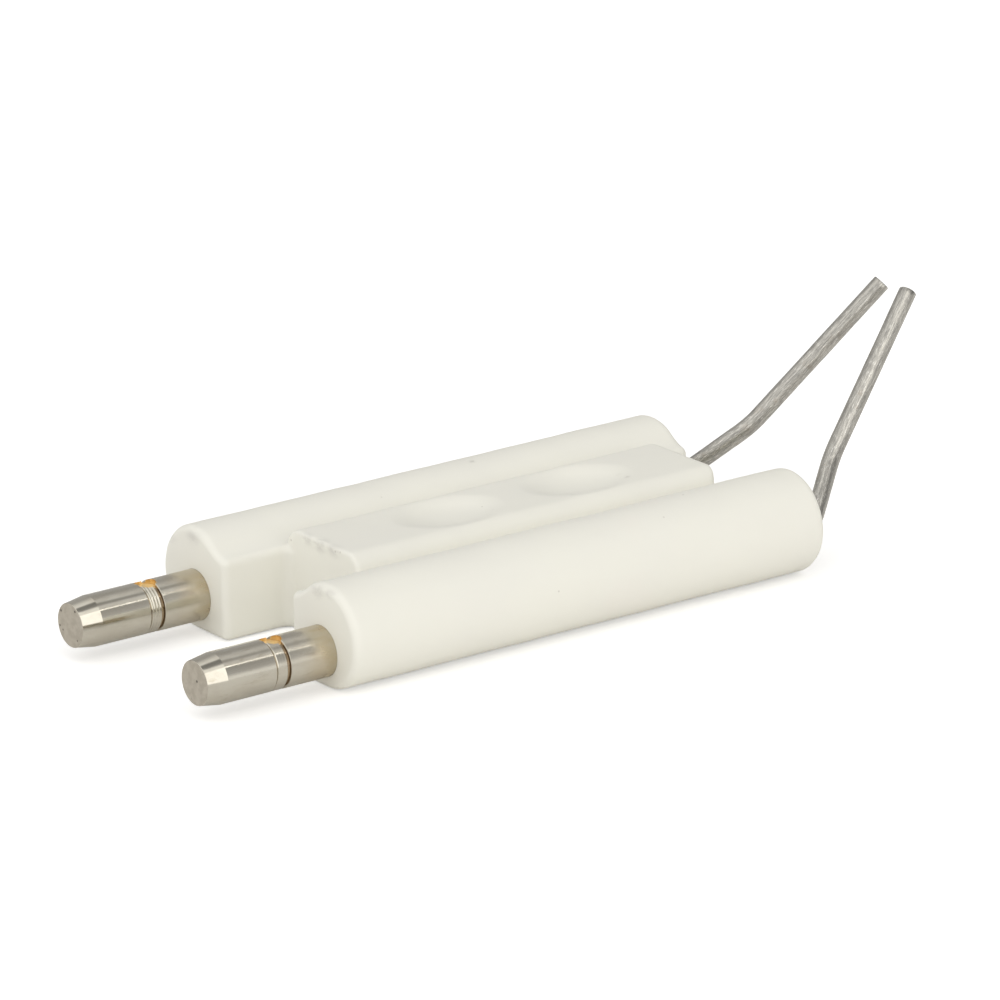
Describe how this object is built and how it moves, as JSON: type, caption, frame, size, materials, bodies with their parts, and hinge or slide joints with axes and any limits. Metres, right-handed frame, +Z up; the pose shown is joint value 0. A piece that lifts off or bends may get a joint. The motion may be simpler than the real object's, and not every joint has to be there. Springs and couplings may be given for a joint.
{
  "type": "ignition electrode",
  "caption": "Double ignition electrode of an oil burner: a ceramic block holds parallel plug pins and bent wires that lead to one spark gap.",
  "frame": {"origin": "centre of the ceramic block's flat underside", "axes": "+X from the plug pins towards the spark gap, +Y to the left electrode, +Z up, away from the seat"},
  "size_m": [0.1161, 0.041, 0.0285],
  "materials": {
    "ceramic": "smooth satin, off-white alumina-silicate body",
    "nickel_plating": "nickel plated and turned, slightly tarnished",
    "heat_resistant_wire": "drawn, grey oxide, fine lengthwise scratches",
    "braze": "cast, slightly dull",
    "cement": "matt, fine grained"
  },
  "bodies": {
    "root": {"ceramic_block": "ceramic", "terminal_pin_left": "nickel_plating", "electrode_wire_left": "heat_resistant_wire", "braze_fill_left": "braze", "pin_cement_left": "cement", "wire_cement_left": "cement", "terminal_pin_right": "nickel_plating", "electrode_wire_right": "heat_resistant_wire", "braze_fill_right": "braze", "pin_cement_right": "cement", "wire_cement_right": "cement"}
  },
  "joints": []
}
